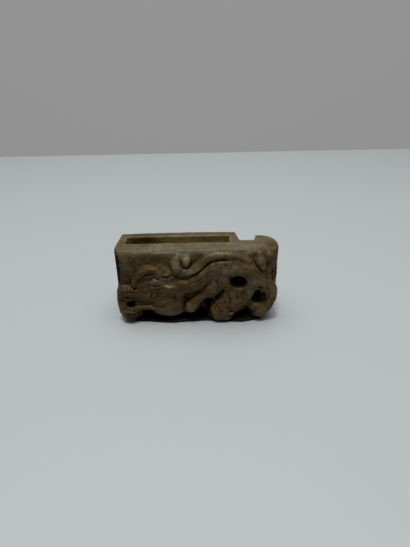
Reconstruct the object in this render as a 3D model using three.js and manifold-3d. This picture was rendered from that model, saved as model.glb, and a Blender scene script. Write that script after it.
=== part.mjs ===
// A carved jade belt buckle, shaped like a scabbard slide and standing on one long side.
// A thick plate carries a striding hornless dragon in high relief. Behind the plate a loop
// leaves a slot for the belt, and the plate's right end rolls back into a short hook.
// Everything is one piece of stone. Millimetres, +X along the plate, +Y to the back, +Z up.
import * as THREE from "three";
import { mergeVertices } from "three/addons/utils/BufferGeometryUtils.js";
import Module from "manifold-3d";

// Driving dimensions of the block. The plate's plain front face lies in the plane y = 0.
const LEFT_END = -32.85;
const RIGHT_END = 33.1;
const HEIGHT = 32;
const PLATE_DEPTH = 8.3;
const SLOT_DEPTH = 6.9;
const LOOP_WALL = 3.9;
const BACK = PLATE_DEPTH + SLOT_DEPTH + LOOP_WALL;

// The plate's ends swell out from its front face and are widest some way behind it.
const END_ROUND = 2;
const END_WIDEST = 6.5;

// The loop bows a little to the back, most at one place, and its left end leans in.
const LOOP_BOW = 0.6;
const LOOP_BOW_AT = -7;
const LOOP_RIGHT = 16.9;
const LOOP_CORNER = 0.7;
const LOOP_LEAN = 0.7;
const SLOT_LEFT = -29;
const SLOT_RIGHT = 13.7;
const SLOT_CORNER = 0.8;

// The notch beside the loop, and the hook that the plate's right end rolls into.
const NOTCH_LEFT = 17.7;
const NOTCH_RIGHT = 24.1;
const NOTCH_FLOOR = 10;
const NOTCH_CORNER = 1.4;
const HOOK_BACK = 15;
const HOOK_TIP = 24.9;
const HOOK_TURN = 27;

// Worn edges: a small bevel all round, the front face rolling over into the top and the
// underside, and the lower corners as seen from the front, each as a reach in and a reach along.
const EDGE_ROUND = 0.45;
const TOP_ROLL = [5, 8];
const UNDER_ROLL = [0.4, 1];
const LEFT_CORNER = [4.5, 7];
const RIGHT_CORNER = [8.6, 12];
const CURVE_STEPS = 8;

// A margin by which cutting shapes stand clear of what they cut.
const CLEAR = 1;

// How finely the round forms are cut.
const LIMB_SIDES = 12;
const LIMB_CAP_RINGS = 3;
const LIMB_RINGS_PER_SPAN = 2;
const BOSS_SIDES = 16;
const BOSS_RINGS = 10;
const WELD = 1e-4;

const wasm = await Module();
wasm.setup();

// A closed three.js geometry as a solid that can be joined and cut.
function toSolid(geometry) {
  const bare = geometry.clone();
  bare.deleteAttribute("normal");
  bare.deleteAttribute("uv");
  const merged = mergeVertices(bare, WELD);
  const index = merged.index.array;
  const kept = [];
  for (let i = 0; i < index.length; i += 3) {
    const [a, b, c] = index.slice(i, i + 3);
    if (a !== b && b !== c && c !== a) kept.push(a, b, c);
  }
  const build = (triangles) =>
    new wasm.Manifold(
      new wasm.Mesh({
        numProp: 3,
        vertProperties: new Float32Array(merged.attributes.position.array),
        triVerts: new Uint32Array(triangles),
      }),
    );
  const solid = build(kept);
  if (solid.volume() > 0) return solid;
  for (let i = 0; i < kept.length; i += 3) {
    [kept[i + 1], kept[i + 2]] = [kept[i + 2], kept[i + 1]];
  }
  return build(kept);
}

function toGeometry(solid) {
  const mesh = solid.getMesh();
  const geometry = new THREE.BufferGeometry();
  geometry.setAttribute("position", new THREE.BufferAttribute(mesh.vertProperties, 3));
  geometry.setIndex(new THREE.BufferAttribute(mesh.triVerts, 1));
  geometry.computeVertexNormals();
  return geometry;
}

// A value along a limb, t from 0 to 1, between evenly spaced stops.
function along(stops, t) {
  const place = t * (stops.length - 1);
  const low = Math.min(Math.floor(place), stops.length - 2);
  return THREE.MathUtils.lerp(stops[low], stops[low + 1], place - low);
}

// A rounded limb laid along a smooth line on the plate: a capsule bent along the line.
// path holds [x, z] points, width its half widths along the way, crest how far its ridge
// stands in front of the plate, and depth the half depth of its oval section.
function limb({ path, width, crest, depth = 3 }) {
  const line = new THREE.CatmullRomCurve3(path.map(([x, z]) => new THREE.Vector3(x, 0, z)));
  const rings = LIMB_RINGS_PER_SPAN * (path.length - 1);
  const geometry = new THREE.CapsuleGeometry(1, 1, LIMB_CAP_RINGS, LIMB_SIDES, rings);
  const corner = geometry.attributes.position;
  for (let i = 0; i < corner.count; i++) {
    const t = THREE.MathUtils.clamp(corner.getY(i) + 0.5, 0, 1);
    const past = corner.getY(i) + 0.5 - t;
    const centre = line.getPointAt(t);
    const ahead = line.getTangentAt(t);
    const w = along(width, t);
    const across = corner.getX(i) * w;
    corner.setXYZ(
      i,
      centre.x + ahead.x * past * w - ahead.z * across,
      depth - along(crest, t) + corner.getZ(i) * depth,
      centre.z + ahead.z * past * w + ahead.x * across,
    );
  }
  return toSolid(geometry);
}

// An oval swelling or hollow on the plate, turned by an angle in degrees in its plane.
function oval({ at, size, crest, depth = 3.5, turn = 0 }) {
  const geometry = new THREE.SphereGeometry(1, BOSS_SIDES, BOSS_RINGS);
  geometry.scale(size[0], depth, size[1]);
  geometry.rotateY(THREE.MathUtils.degToRad(-turn));
  geometry.translate(at[0], depth - crest, at[1]);
  return toSolid(geometry);
}

// The block seen from above: plate, loop with its slot, notch and hook, drawn up to HEIGHT.
function uprightBlock() {
  const plan = new THREE.Shape();
  plan.moveTo(LEFT_END + END_ROUND, 0);
  plan.lineTo(RIGHT_END - END_ROUND, 0);
  plan.absellipse(RIGHT_END - END_ROUND, END_WIDEST, END_ROUND, END_WIDEST, -Math.PI / 2, 0);
  plan.absellipse(HOOK_TURN, END_WIDEST, RIGHT_END - HOOK_TURN, HOOK_BACK - END_WIDEST, 0, Math.PI / 2);
  plan.lineTo(HOOK_TIP, HOOK_BACK);
  plan.lineTo(NOTCH_RIGHT, NOTCH_FLOOR + NOTCH_CORNER);
  plan.quadraticCurveTo(NOTCH_RIGHT, NOTCH_FLOOR, NOTCH_RIGHT - NOTCH_CORNER, NOTCH_FLOOR);
  plan.lineTo(NOTCH_LEFT + NOTCH_CORNER, NOTCH_FLOOR);
  plan.quadraticCurveTo(NOTCH_LEFT, NOTCH_FLOOR, NOTCH_LEFT, NOTCH_FLOOR + NOTCH_CORNER);
  plan.lineTo(LOOP_RIGHT, BACK - LOOP_CORNER);
  plan.lineTo(LOOP_RIGHT - LOOP_CORNER, BACK);
  plan.quadraticCurveTo(LOOP_BOW_AT, BACK + 2 * LOOP_BOW, LEFT_END + LOOP_LEAN + LOOP_CORNER, BACK);
  plan.lineTo(LEFT_END + LOOP_LEAN, BACK - LOOP_CORNER);
  plan.lineTo(LEFT_END, END_WIDEST);
  plan.absellipse(LEFT_END + END_ROUND, END_WIDEST, END_ROUND, END_WIDEST, Math.PI, 1.5 * Math.PI);
  plan.holes.push(roundedBox(SLOT_LEFT, SLOT_RIGHT, PLATE_DEPTH, PLATE_DEPTH + SLOT_DEPTH, SLOT_CORNER));

  const geometry = new THREE.ExtrudeGeometry(plan, {
    depth: HEIGHT - 2 * EDGE_ROUND,
    bevelThickness: EDGE_ROUND,
    bevelSize: EDGE_ROUND,
    bevelOffset: -EDGE_ROUND,
    bevelSegments: 1,
    curveSegments: CURVE_STEPS,
  });
  geometry.translate(0, 0, EDGE_ROUND);
  return toSolid(geometry);
}

function roundedBox(left, right, front, back, corner) {
  const path = new THREE.Path();
  path.moveTo(left + corner, front);
  path.quadraticCurveTo(left, front, left, front + corner);
  path.lineTo(left, back - corner);
  path.quadraticCurveTo(left, back, left + corner, back);
  path.lineTo(right - corner, back);
  path.quadraticCurveTo(right, back, right, back - corner);
  path.lineTo(right, front + corner);
  path.quadraticCurveTo(right, front, right - corner, front);
  return path;
}

// The side profile, which rolls the plate's front face over into its top and underside.
function sideProfile() {
  const behind = BACK + LOOP_BOW + CLEAR;
  const side = new THREE.Shape();
  side.moveTo(behind, 0);
  side.lineTo(UNDER_ROLL[0], 0);
  side.quadraticCurveTo(0, 0, 0, UNDER_ROLL[1]);
  side.lineTo(0, HEIGHT - TOP_ROLL[1]);
  side.quadraticCurveTo(0, HEIGHT, TOP_ROLL[0], HEIGHT);
  side.lineTo(behind, HEIGHT);
  side.closePath();
  const geometry = new THREE.ExtrudeGeometry(side, {
    depth: RIGHT_END - LEFT_END + 2 * CLEAR,
    bevelEnabled: false,
    curveSegments: CURVE_STEPS,
  });
  geometry.rotateX(Math.PI / 2);
  geometry.rotateZ(Math.PI / 2);
  geometry.translate(LEFT_END - CLEAR, 0, 0);
  return toSolid(geometry);
}

// The front outline, with the lower corners worn round.
function frontOutline() {
  const front = new THREE.Shape();
  front.moveTo(LEFT_END, HEIGHT);
  front.lineTo(LEFT_END, LEFT_CORNER[1]);
  front.absellipse(LEFT_END + LEFT_CORNER[0], LEFT_CORNER[1], ...LEFT_CORNER, Math.PI, 1.5 * Math.PI);
  front.lineTo(RIGHT_END - RIGHT_CORNER[0], 0);
  front.absellipse(RIGHT_END - RIGHT_CORNER[0], RIGHT_CORNER[1], ...RIGHT_CORNER, 1.5 * Math.PI, 2 * Math.PI);
  front.lineTo(RIGHT_END, HEIGHT);
  front.closePath();
  const geometry = new THREE.ExtrudeGeometry(front, {
    depth: BACK + LOOP_BOW + 2 * CLEAR,
    bevelEnabled: false,
    curveSegments: CURVE_STEPS,
  });
  geometry.rotateX(Math.PI / 2);
  geometry.translate(0, BACK + LOOP_BOW + CLEAR, 0);
  return toSolid(geometry);
}

// Everything above the table.
function aboveTable() {
  const wide = 2 * (RIGHT_END - LEFT_END);
  const geometry = new THREE.BoxGeometry(wide, wide, 2 * HEIGHT);
  geometry.translate(0, 0, HEIGHT);
  return toSolid(geometry);
}

// Pockets cut into the plate below and between the legs before the dragon is laid on it.
const POCKETS = {
  underForeleg: {
    path: [[-23, 1.6], [-21.1, 3.2], [-18.4, 1.8]],
    width: [1.3, 2.6, 1.4],
    crest: [3, 3],
    depth: 4.5,
  },
  underChest: { path: [[-18, 2], [-12, 1.7], [-7, 2]], width: [1.1, 1.1], crest: [2, 2], depth: 3.5 },
  underBelly: { path: [[-6, 2.1], [-1, 2.4], [3, 2.6]], width: [1.3, 1.7, 1.9], crest: [3, 3], depth: 4.5 },
  betweenLegs: { path: [[2.6, 3], [3, 5.4], [4.7, 8.8]], width: [2.3, 2.5, 2], crest: [3, 3], depth: 4.5 },
  underShank: {
    path: [[16.6, 1.5], [19.2, 2.5], [21.4, 3.2]],
    width: [1, 1.8, 2.1],
    crest: [3, 3],
    depth: 4.5,
  },
};

// The dragon in oval masses. Each lies at [x, z] with half sizes along and up the plate.
const MASSES = {
  neck: { at: [-12, 12], size: [8.4, 8.6], crest: 2.8, depth: 3 },
  head: { at: [-17.4, 15.2], size: [7, 6.4], crest: 2.8, depth: 3.2 },
  forehead: { at: [-19.4, 19.2], size: [5.6, 4.8], crest: 2, depth: 2.2 },
  cheek: { at: [-22.4, 12.4], size: [4.6, 4], crest: 2.7, depth: 3 },
  chest: { at: [-11.9, 7.7], size: [7.1, 5.5], crest: 3.5, depth: 3.8 },
  farForepaw: { at: [-28, 4.2], size: [3.8, 3.2], crest: 3.3, depth: 3.8 },
  nearForepaw: { at: [-2.6, 7.4], size: [2.9, 3.1], crest: 3.8 },
  shoulder: { at: [6.2, 17], size: [6.2, 6.6], crest: 3.3 },
  haunch: { at: [18, 16.2], size: [8.8, 10.4], crest: 3.2 },
  hock: { at: [16, 8.6], size: [5.2, 4], crest: 3.3, turn: 35 },
  thigh: { at: [25.2, 18.2], size: [5, 5.2], crest: 3.4, turn: -30 },
  heel: { at: [24, 7], size: [3.6, 2], crest: 3 },
  hindFoot: { at: [10.4, 2], size: [4.4, 3.2], crest: 3.6, depth: 3.8 },
  nearHindPaw: { at: [9.4, 4.8], size: [4.2, 4], crest: 4.2, depth: 4.4 },
  nearHindToe: { at: [13, 3.2], size: [2.3, 1.6], crest: 3.7 },
  farHindPaw: { at: [25.6, 4.2], size: [3.2, 2.9], crest: 3.2 },
  curl: { at: [-5.8, 25.8], size: [3.6, 3.4], crest: 1.4, depth: 2 },
  tailTip: { at: [-4, 27.6], size: [1.9, 2.1], crest: 2.1, depth: 2.4, turn: -20 },
};

// The dragon's limbs and ridges, from the snout at the left to the leaves at the upper right,
// and the ledge along the table that it strides on.
const LIMBS = {
  base: {
    path: [[-26, 0.3], [-12, 0.3], [2, 0.3], [14, 0.3], [26, 0.3]],
    width: [0.8, 0.8],
    crest: [0.9, 1.8, 3, 2.2, 1.6, 2.6, 3.2, 1.2],
    depth: 2,
  },
  leftEnd: { path: [[-29, 14], [-29, 6.4]], width: [4.2, 4.2], crest: [2.2, 2.2], depth: 4.4 },
  snout: { path: [[-29, 13.7], [-25, 13.6], [-20, 13]], width: [2.7, 2.8], crest: [2.5, 2.7] },
  brow: {
    path: [[-25.9, 16], [-24.9, 19.8], [-21.6, 23], [-17.6, 24.3], [-15, 22.9]],
    width: [0.9, 1.2, 1.2, 1],
    crest: [2.2, 2.2, 2.1, 1.9],
    depth: 1.8,
  },
  ear: {
    path: [[-10.4, 20.6], [-12.2, 22.4], [-14.4, 24.8]],
    width: [2.2, 2.2, 1.2],
    crest: [1.9, 1.5, 0.9],
    depth: 1.8,
  },
  nape: {
    path: [[-15, 20.8], [-9, 20.8], [-3, 20.4], [1, 22], [5, 25.4], [9, 27.4]],
    width: [1.6, 1.6],
    crest: [1.7, 1.4, 1.5, 2, 2.6],
    depth: 1.8,
  },
  farForeleg: {
    path: [[-15, 7.2], [-20.5, 7.6], [-24.6, 7.1], [-26.8, 4.8]],
    width: [1.9, 1.4, 1.5, 1.8],
    crest: [3.2, 2.9, 3],
  },
  torso: {
    path: [[-10, 15.4], [-4, 16.4], [0, 18], [4, 21.4], [9, 25]],
    width: [3.8, 3.5, 3.4, 4],
    crest: [3.2, 3.5, 3.8],
    depth: 3.4,
  },
  nearForeleg: {
    path: [[7.5, 17.8], [3.8, 14.6], [0.6, 11.4], [-2.2, 8]],
    width: [3.4, 2.8, 2.3, 2.3],
    crest: [3.5, 3.7, 3.6, 3.7],
    depth: 3.4,
  },
  rump: {
    path: [[8, 25], [14, 25.4], [20.5, 22.8], [25, 18.8]],
    width: [4, 4.8, 4, 3.3],
    crest: [3.8, 3.9, 3.7, 3.5],
    depth: 4,
  },
  nearHindLeg: {
    path: [[10.3, 20.8], [12, 15], [11.2, 10], [9.8, 5.6]],
    width: [3.4, 3.2, 3.5, 3.9],
    crest: [3.7, 3.7, 3.9, 4.1],
    depth: 4,
  },
  shank: {
    path: [[15, 8], [18.6, 10.6], [21.4, 14.4], [23.8, 18]],
    width: [2.6, 2.3, 1.9, 2.4],
    crest: [3.6, 3.6, 3.5, 3.6],
  },
  sinew: { path: [[13.4, 16.4], [14.6, 13], [15.4, 9.6]], width: [1.4, 1.6, 1.4], crest: [3.6, 3.8, 3.7] },
  farHindLeg: {
    path: [[26.4, 18.4], [29.6, 15], [30.2, 11], [28.8, 7], [25.8, 4.6]],
    width: [3.2, 3, 2.6, 2.3, 2.3],
    crest: [3.4, 3.2, 3, 3, 3.2],
  },
  leaf: {
    path: [[25, 29.4], [25.6, 27], [26.6, 24.4]],
    width: [1.7, 2.1, 1.4],
    crest: [1, 1.9, 2.4],
    depth: 2,
  },
  secondLeaf: {
    path: [[29, 28.6], [29.3, 26], [29.5, 23]],
    width: [1.4, 1.5, 1.4],
    crest: [0.6, 1.3, 2],
    depth: 2,
  },
  leafStalk: {
    path: [[21.6, 28.4], [24, 25.2], [27, 22.4], [30, 20.4]],
    width: [2, 2.2],
    crest: [0.7, 1.6, 2, 1.8],
    depth: 2,
  },
  tail: {
    path: [
      [20.4, 27.4], [16.5, 29.3], [10.5, 30.2], [5.4, 29.2], [2.8, 27.1], [0.4, 24.9],
      [-2.2, 23.4], [-5, 22.9], [-7.5, 24], [-8.3, 26.2], [-7.2, 28.2],
    ],
    width: [1.2, 1.4, 1.6, 1.8, 1.8, 1.9, 2, 2, 1.8],
    crest: [2.6, 3, 3, 2.7, 2.4, 2.3, 2.2, 2.1, 1.6],
    depth: 2,
  },
};

// Holes drilled into the dragon.
const DRILLED = {
  belowRump: { at: [16.8, 18.8], size: [3.4, 2.8], crest: 7, depth: 6 },
  besideHindLeg: { at: [24.3, 10.8], size: [2.2, 1.9], crest: 7, depth: 6 },
  aboveHindLeg: { at: [24.5, 13.2], size: [1.3, 2.6], crest: 7, depth: 6, turn: -8 },
  mouthCorner: { at: [-27.7, 8.6], size: [2, 1.5], crest: 5, depth: 5 },
};

function joined(shapes, make) {
  return wasm.Manifold.union(Object.values(shapes).map(make));
}

const ground = uprightBlock()
  .intersect(sideProfile())
  .intersect(frontOutline())
  .subtract(joined(POCKETS, limb));
const carved = ground
  .add(joined(MASSES, oval))
  .add(joined(LIMBS, limb))
  .subtract(joined(DRILLED, oval))
  .intersect(aboveTable());

// The frame stands at the middle of the underside of the whole piece.
const geometry = toGeometry(carved);
geometry.computeBoundingBox();
const middle = geometry.boundingBox.getCenter(new THREE.Vector3());
geometry.translate(-middle.x, -middle.y, -geometry.boundingBox.min.z);

const jade = new THREE.MeshStandardMaterial({ color: 0x7d7460, roughness: 0.4, metalness: 0 });
const buckle = new THREE.Mesh(geometry, jade);
buckle.name = "jade_buckle";

const group = new THREE.Group();
group.name = "jade_belt_buckle";
group.add(buckle);
export default group;
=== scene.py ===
# A carved jade belt buckle: a plate with a hornless dragon in high relief, a loop behind it for
# the belt, and a right end that rolls back into a hook. The carving is worked out as a distance
# field in millimetres, in the carver's frame: x along the plate, y to the back with the plain
# ground of the plate at 0, z up from the table. The field is then meshed and placed in the frame.
import math

import bmesh
import bpy
import numpy as np
import openvdb
from mathutils import Matrix, Vector


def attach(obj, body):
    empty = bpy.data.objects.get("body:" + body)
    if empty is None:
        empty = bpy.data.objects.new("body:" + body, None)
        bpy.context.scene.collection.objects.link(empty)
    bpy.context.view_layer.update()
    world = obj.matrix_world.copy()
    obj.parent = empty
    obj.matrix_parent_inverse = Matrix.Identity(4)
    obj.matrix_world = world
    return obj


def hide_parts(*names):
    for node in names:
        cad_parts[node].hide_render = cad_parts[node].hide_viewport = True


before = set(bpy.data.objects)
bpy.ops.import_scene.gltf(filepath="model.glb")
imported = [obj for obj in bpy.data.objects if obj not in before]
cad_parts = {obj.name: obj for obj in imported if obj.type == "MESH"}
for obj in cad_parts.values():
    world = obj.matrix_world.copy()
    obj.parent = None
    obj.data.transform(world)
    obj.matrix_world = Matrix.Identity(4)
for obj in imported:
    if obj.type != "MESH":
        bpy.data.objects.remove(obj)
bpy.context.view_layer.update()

MM = 0.001

# Sizes of the block, in millimetres.
LEFT_END = -32.85
RIGHT_END = 33.1
END_WIDEST = 6.5
HEIGHT = 32
PLATE_DEPTH = 8.3
SLOT_DEPTH = 6.9
LOOP_WALL = 3.9
LOOP_BOW = 0.6
LOOP_BOW_AT = -7
SLOT_LEFT = -29
SLOT_RIGHT = 13.7
LOOP_RIGHT = 16.9
NOTCH_RIGHT = 23.8
NOTCH_FLOOR = 10
HOOK_BACK = 15
HOOK_TIP = 24.9
FRONT_ROUND_IN = 5
FRONT_ROUND_DOWN = 8
BACK = PLATE_DEPTH + SLOT_DEPTH + LOOP_WALL

# Curves of the block's outlines, each with the points that pull it into shape: in plan as (x, y),
# in the side view as (y, z) and in the front view as (x, z). The one middle point of the loop's back
# pulls it half way, so it lies at twice the bow. Open sides run on to a line beyond the block.
BEYOND = 40
CORNER_IN = 2
CORNER_PULL = (0.7, 0.4)
CORNER_DEPTH = 3
HOOK_ROUND = [(RIGHT_END, 11.4), (30.6, HOOK_BACK - 0.5), (27, HOOK_BACK - 0.1)]
HOOK_INSIDE = [(HOOK_TIP - 0.6, 11.8), (NOTCH_RIGHT, NOTCH_FLOOR), (NOTCH_RIGHT - 1, NOTCH_FLOOR)]
NOTCH_CORNER = [(19.2, NOTCH_FLOOR), (17.9, NOTCH_FLOOR), (17.7, NOTCH_FLOOR + 2)]
LOOP_CORNER = (LOOP_RIGHT, BACK - 0.6)
LOOP_BACK = [(LOOP_RIGHT - 0.7, BACK), (LOOP_BOW_AT, BACK + 2 * LOOP_BOW), (LEFT_END + 1.3, BACK - 0.2)]
LEFT_CORNER = (LEFT_END + 0.7, BACK - 0.9)
SIDE_FOOT = [(0.4, 0), (0, 0), (0, 1)]
LEFT_SIDE = [(LEFT_END - 1, BEYOND), (LEFT_END - 0.6, 10)]
LEFT_FOOT = [(LEFT_END, 7), (LEFT_END + 0.4, 2.6), (LEFT_END + 2, 0), (LEFT_END + 6, -0.5)]
RIGHT_FOOT = [(24.5, -0.4), (29.6, 0.4), (RIGHT_END - 0.6, 4.6), (RIGHT_END + 0.3, 12)]
RIGHT_SIDE = (RIGHT_END + 1, BEYOND)

# How far the edges are worn round.
SLOT_WEAR = 1.2
EDGE_WEAR = 0.8
FOOT_WEAR = 0.3

# Where the frame's origin lies in the carver's frame.
ORIGIN = np.array([-0.05, 7.75, 0.0])

# The sampled space round the block, how finely it is sampled, and the space left round each form.
VOXEL = 0.18
LOW = np.array([-34.2, -5.8, -1.2])
HIGH = np.array([34.4, 20.9, 33.2])
MARGIN = 2

# The mesh: how many faces to aim for, how long an edge may be, how often long edges are halved at most,
# and how close two points are when they count as one.
FACES = 175000
LONGEST_EDGE = 1.5
MOST_CUTS = 6
TOUCHING = 0.002

# A length too small to divide by, and one longer than any in the carving.
SMALL = 1e-6
FAR = 1e9

# How an incised line is cut: how far it is followed sideways in widths, between which depths, and how
# it tapers from its ends.
GROOVE_SPREAD = 3
GROOVE_FRONT = -6
GROOVE_BACK = 3
GROOVE_TAPER = 5
GROOVE_END = 0.25

# How far from the surface the field counts, and how far round a point it is averaged, to tell creases
# and dells from ridges.
NEAR = 2
FOLD_REACH = 0.5
DELL_REACH = 1.6

# Dark pockets cut into the plate below and between the legs before the dragon is laid on it.
POCKETS = {
    "under_foreleg": dict(
        path=[(-23, 1.6), (-21.1, 3.2), (-18.4, 1.8)], width=(1.3, 2.6, 1.4), crest=(3, 3), depth=4.5
    ),
    "under_chest": dict(
        path=[(-18, 1.5), (-12, 1.3), (-8.4, 1.5), (-6, 2.1)], width=(0.8, 0.8), crest=(2, 2), depth=2.4
    ),
    "under_belly": dict(
        path=[(-6, 2.1), (-1, 2.4), (3, 2.6)], width=(1.3, 1.7, 1.9), crest=(3, 3), depth=4.5
    ),
    "between_legs": dict(
        path=[(2.6, 3), (3, 5.4), (4.7, 8.8)], width=(2.3, 2.5, 2), crest=(3, 3), depth=4.5
    ),
    "under_shank": dict(
        path=[(16.6, 1.5), (19.2, 2.5), (21.4, 3.2)], width=(1, 1.8, 2.1), crest=(3, 3), depth=4.5
    ),
}

# The dragon in oval masses. Each lies at (x, z) with half sizes along and up the plate.
MASSES = {
    "left_end": dict(at=(-28.8, 9.6), size=(4.4, 7.8), crest=1.8, depth=3.6, square=3.2),
    "neck": dict(at=(-12, 12), size=(8.4, 8.6), crest=2.8, depth=3, blend=1.2),
    "head": dict(at=(-17.4, 15.2), size=(7, 6.4), crest=2.8, depth=3.2, blend=1.2),
    "forehead": dict(at=(-19.4, 19.2), size=(5.6, 4.8), crest=2, depth=2.2, square=3, blend=1),
    "cheek": dict(at=(-22.4, 12.4), size=(4.6, 4), crest=2.7, depth=3, blend=1),
    "chest": dict(at=(-11.9, 7.7), size=(7.1, 5.5), crest=3.5, depth=3.8, blend=1.2),
    "far_forepaw": dict(at=(-28, 4.2), size=(3.8, 3.2), crest=3.3, depth=3.8),
    "shoulder": dict(at=(6.2, 17), size=(6.2, 6.6), crest=3.3, blend=1),
    "haunch": dict(at=(18, 16.2), size=(8.8, 10.4), crest=3.2, blend=1),
    "hock": dict(at=(16, 8.6), size=(5.2, 4), crest=3.3, turn=35, blend=1.2),
    "thigh": dict(at=(25.2, 18.2), size=(5, 5.2), crest=3.4, turn=-30, blend=1.2),
    "heel": dict(at=(24, 7), size=(3.6, 2), crest=3),
    "hind_foot": dict(at=(10.4, 2), size=(4.4, 3.2), crest=3.6, depth=3.8),
    "far_hind_paw": dict(at=(25.6, 4.2), size=(3.2, 2.9), crest=3.2),
    "curl": dict(at=(-5.8, 25.8), size=(3.6, 3.4), crest=1.4, depth=2, square=3, blend=1),
}

# The dragon's limbs and ridges, from the snout at the left to the leaf at the upper right.
LIMBS = {
    "base": dict(
        path=[(-26, 0.3), (26, 0.3)],
        width=(0.8, 0.8),
        crest=(0.9, 1.8, 3, 2.2, 1.6, 2.6, 3.2, 1.2),
        depth=2,
        blend=0.3,
    ),
    "snout": dict(path=[(-29, 13.7), (-25, 13.6), (-20, 13)], width=(2.7, 2.8), crest=(2.5, 2.7), blend=1),
    "brow": dict(
        path=[(-25.9, 16), (-24.9, 19.8), (-21.6, 23), (-17.6, 24.3), (-15, 22.9)],
        width=(0.9, 1.2, 1.2, 1),
        crest=(2.2, 2.2, 2.1, 1.9),
        depth=1.8,
        blend=1.2,
    ),
    "ear": dict(
        path=[(-10.4, 20.6), (-12.2, 22.4), (-14.4, 24.8)],
        width=(2.2, 2.2, 1.2),
        crest=(1.9, 1.5, 0.9),
        depth=1.8,
        blend=1.4,
    ),
    "nape": dict(
        path=[(-15, 20.8), (-9, 20.8), (-3, 20.4), (1, 22), (5, 25.4), (9, 27.4)],
        width=(1.6, 1.6),
        crest=(1.7, 1.4, 1.5, 2, 2.6),
        depth=1.8,
        blend=1.2,
    ),
    "elbow": dict(
        path=[(-5, 11.4), (-1, 13.2), (2.6, 15.8)], width=(1.4, 1.4), crest=(1.2, 1.6, 2.4), depth=2, blend=1
    ),
    "far_foreleg": dict(
        path=[(-15, 7.2), (-20.5, 7.6), (-24.6, 7.1), (-26.8, 4.8)],
        width=(1.9, 1.4, 1.5, 1.8),
        crest=(3.2, 2.9, 3),
        blend=1,
    ),
    "torso": dict(
        path=[(-10, 15.4), (-4, 16.4), (0, 18), (4, 21.4), (9, 25)],
        width=(3.8, 3.5, 3.4, 4),
        crest=(3.2, 3.5, 3.8),
        depth=3.4,
        blend=1.2,
    ),
    "near_foreleg": dict(
        path=[(7.5, 17.8), (3.8, 14.6), (0.6, 11.4), (-2.2, 8)],
        width=(3.4, 2.8, 2.3, 2.3),
        crest=(3.5, 3.7, 3.6, 3.7),
        depth=3.4,
        blend=0.9,
    ),
    "rump": dict(
        path=[(8, 25), (14, 25.4), (20.5, 22.8), (25, 18.8)],
        width=(4, 4.8, 4, 3.3),
        crest=(3.8, 3.9, 3.7, 3.5),
        depth=4,
        blend=1.2,
    ),
    "near_hind_leg": dict(
        path=[(10.3, 20.8), (12, 15), (11.2, 10), (9.8, 5.6)],
        width=(3.4, 3.2, 3.5, 3.9),
        crest=(3.7, 3.7, 3.9, 4.1),
        depth=4,
        blend=1,
    ),
    "shank": dict(
        path=[(15, 8), (18.6, 10.6), (21.4, 14.4), (23.8, 18)],
        width=(2.6, 2.3, 1.9, 2.4),
        crest=(3.6, 3.6, 3.5, 3.6),
        blend=1,
    ),
    "sinew": dict(
        path=[(13.4, 16.4), (14.6, 13), (15.4, 9.6)], width=(1.4, 1.6, 1.4), crest=(3.6, 3.8, 3.7), blend=1.2
    ),
    "far_hind_leg": dict(
        path=[(26.4, 18.4), (29.6, 15), (30.2, 11), (28.8, 7), (25.8, 4.6)],
        width=(3.2, 3, 2.6, 2.3, 2.3),
        crest=(3.4, 3.2, 3, 3, 3.2),
        blend=1,
    ),
    "leaf_stalk": dict(
        path=[(21.6, 28.4), (24, 25.2), (27, 22.4), (30, 20.4)],
        width=(2, 2.2),
        crest=(0.7, 1.6, 2, 1.8),
        depth=2,
        blend=1.2,
    ),
    "leaf": dict(
        path=[(25, 29.4), (25.6, 27), (26.6, 24.4)],
        width=(1.7, 2.1, 1.4),
        crest=(1, 1.9, 2.4),
        depth=2,
        blend=0.7,
    ),
    "second_leaf": dict(
        path=[(29, 28.6), (29.3, 26), (29.5, 23)],
        width=(1.4, 1.5, 1.4),
        crest=(0.6, 1.3, 2),
        depth=2,
        blend=0.9,
    ),
    "tail": dict(
        path=[
            *[(20.4, 27.4), (16.5, 29.5), (12.5, 30.3), (8.5, 30.2), (5.4, 29.2), (2.8, 27.1), (0.4, 24.9)],
            *[(-2.2, 23.4), (-5, 22.9), (-7.2, 23.7), (-8.3, 25.4), (-8.1, 27.3), (-7.2, 28.2)],
        ],
        width=(1.2, 1.4, 1.6, 1.8, 1.8, 1.9, 2, 2, 1.8),
        crest=(2.6, 3, 3, 2.7, 2.4, 2.3, 2.2, 2.1, 1.6),
        depth=2,
        blend=0.6,
    ),
}

# Smaller forms laid on last, so that they keep their own outline.
DETAILS = {
    "tail_tip": dict(at=(-4, 27.6), size=(1.9, 2.1), crest=2.1, depth=2.4, turn=-20, blend=0.5),
    "eye": dict(at=(-16.6, 19.1), size=(1.9, 1.1), crest=2.9, depth=1.3, turn=8, blend=0.4),
    "muzzle_top": dict(at=(-20.7, 16), size=(1.4, 1.1), crest=3.1, depth=1.6, blend=0.6),
    "muzzle_side": dict(at=(-21.2, 13.2), size=(1.5, 1.6), crest=3.1, depth=1.6, blend=0.6),
    "near_forepaw": dict(at=(-2.6, 7.4), size=(2.9, 3.1), crest=3.8, blend=0.5),
    "near_hind_paw": dict(at=(9.4, 4.8), size=(4.2, 4), crest=4.2, depth=4.4, blend=0.6),
    "cheek_fold": dict(at=(-11, 17.3), size=(2.4, 0.5), crest=3.3, depth=1.2, turn=-14, blend=0.5),
    "paw_knob": dict(at=(9.7, 7), size=(0.9, 0.8), crest=4.5, depth=1.2, blend=0.4),
    "outer_toe": dict(at=(13.4, 4), size=(2.1, 0.9), crest=3.7, depth=2.4, turn=18, blend=0.3),
    "inner_toe": dict(at=(12.2, 2.3), size=(2.2, 0.9), crest=3.7, depth=2.4, turn=8, blend=0.3),
}

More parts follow.
